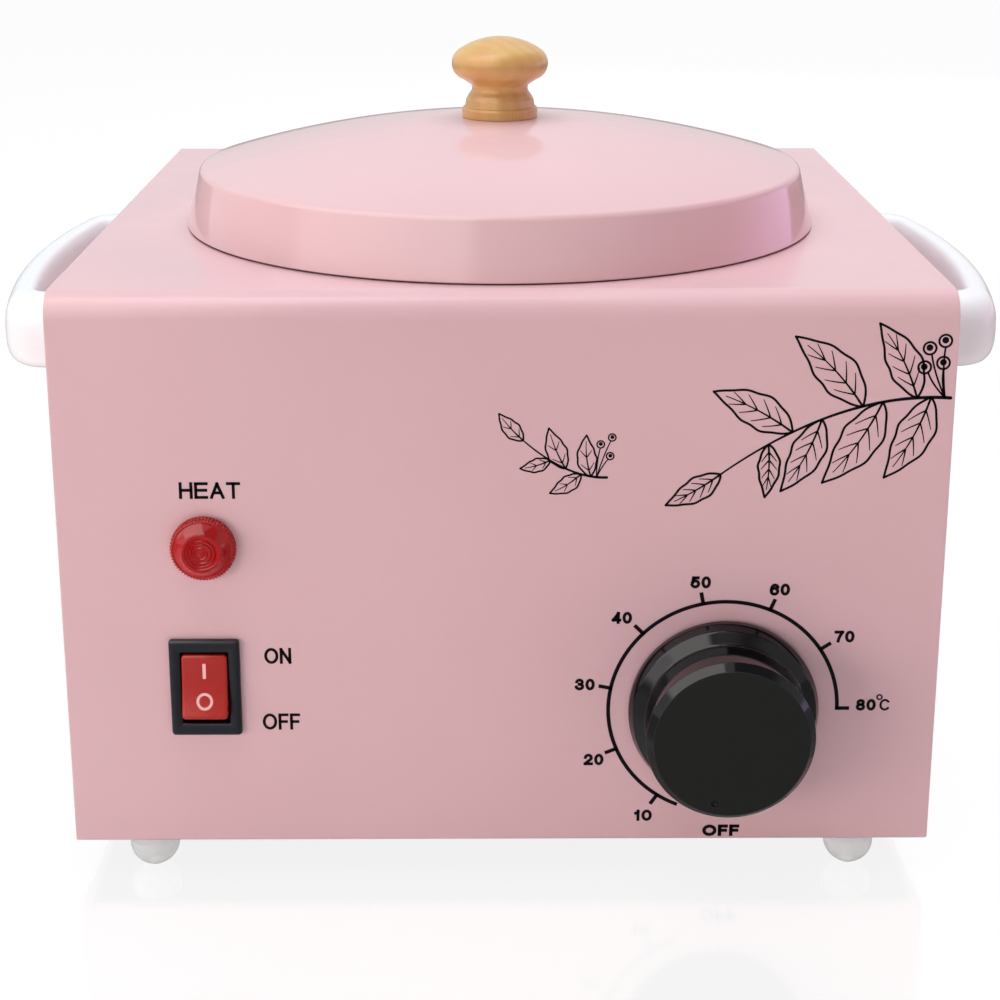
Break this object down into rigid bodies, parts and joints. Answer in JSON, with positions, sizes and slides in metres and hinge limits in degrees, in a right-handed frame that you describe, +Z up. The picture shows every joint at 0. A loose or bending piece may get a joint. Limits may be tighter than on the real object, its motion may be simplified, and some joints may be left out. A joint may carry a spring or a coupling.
{
  "type": "candle wax melter",
  "caption": "Countertop wax melter: a pink sheet-metal housing with a heated well, a lift-out pot under a domed lid with a wooden knob, bow handles, a dial, a lamp and a rocker switch.",
  "frame": {"origin": "on the floor, under the middle of the bounding box", "axes": "+X to the right seen from the front, +Y from the front panel to the back, +Z up"},
  "size_m": [0.361, 0.3428, 0.2807],
  "materials": {
    "housing_paint": "gloss, pale pink",
    "lid_paint": "gloss, pale pink",
    "bare_sheet": "zinc-plated",
    "fastener": "zinc-plated",
    "pot_metal": "satin",
    "well_metal": "satin",
    "heater_metal": "as cast",
    "handle_plastic": "gloss, white",
    "black_plastic": "gloss, black",
    "control_plastic": "matt, black",
    "red_plastic": "satin, red",
    "lamp_red": "translucent red",
    "lamp_white": "white nylon",
    "foot_silicone": "clear silicone",
    "knob_wood": "lacquered light wood",
    "ceramic_fibre": "felted white fibre",
    "ceramic": "unglazed ceramic",
    "brass": "bright",
    "copper": "drawn copper",
    "wire_brown": "silicone sheath",
    "wire_blue": "silicone sheath",
    "wire_green": "silicone sheath",
    "wire_white": "glass-braid sheath"
  },
  "bodies": {
    "housing": {"base_plate": "bare_sheet", "base_screws": "fastener", "bulb_clip": "bare_sheet", "capillary_tube": "copper", "casing_wrap": "housing_paint", "cutout_screws": "fastener", "earth_nut": "fastener", "earth_stud": "fastener", "foot_front_left": "foot_silicone", "foot_front_right": "foot_silicone", "foot_rear_left": "foot_silicone", "foot_rear_right": "foot_silicone", "handle_left": "handle_plastic", "handle_right": "handle_plastic", "handle_screws": "fastener", "heater_nut": "fastener", "heater_plate": "heater_metal", "heater_stud": "fastener", "heater_terminals": "ceramic", "heating_well": "well_metal", "inlet_pins": "brass", "inlet_screws": "fastener", "insulation_pad": "ceramic_fibre", "insulation_sleeve": "ceramic_fibre", "lamp_body": "lamp_white", "lamp_leads": "wire_white", "lamp_lens": "lamp_red", "lamp_nut": "lamp_white", "mains_inlet": "black_plastic", "side_panel_left": "housing_paint", "side_panel_right": "housing_paint", "switch_housing": "black_plastic", "switch_terminals": "brass", "thermal_cutout": "control_plastic", "thermostat_body": "control_plastic", "thermostat_bulb": "copper", "thermostat_screws": "fastener", "thermostat_terminals": "brass", "wire_cutout": "wire_brown", "wire_earth": "wire_green", "wire_heater_live": "wire_brown", "wire_heater_neutral": "wire_blue", "wire_live": "wire_brown", "wire_neutral": "wire_blue", "wire_switched": "wire_brown"},
    "pot": {"inner_pot": "pot_metal"},
    "lid": {"lid_shell": "lid_paint", "lid_knob": "knob_wood", "lid_knob_screw": "fastener", "lid_washer": "fastener"},
    "dial": {"thermostat_knob": "black_plastic", "thermostat_shaft": "fastener"},
    "rocker": {"switch_rocker": "red_plastic"}
  },
  "joints": [
    {"name": "pot_lift", "type": "slide", "parent": "housing", "child": "pot", "axis": [0, 0, 1], "range_m": [0, 0.15]},
    {"name": "lid_lift", "type": "slide", "parent": "pot", "child": "lid", "axis": [0, 0, 1], "range_m": [0, 0.06]},
    {"name": "dial_turn", "type": "hinge", "parent": "housing", "child": "dial", "pos_m": [0.0763, -0.1434, 0.0637], "axis": [0, 1, 0], "range_deg": [0, 270]},
    {"name": "switch_rock", "type": "hinge", "parent": "housing", "child": "rocker", "pos_m": [-0.102, -0.1394, 0.0725], "axis": [1, 0, 0], "range_deg": [0, 18]}
  ]
}
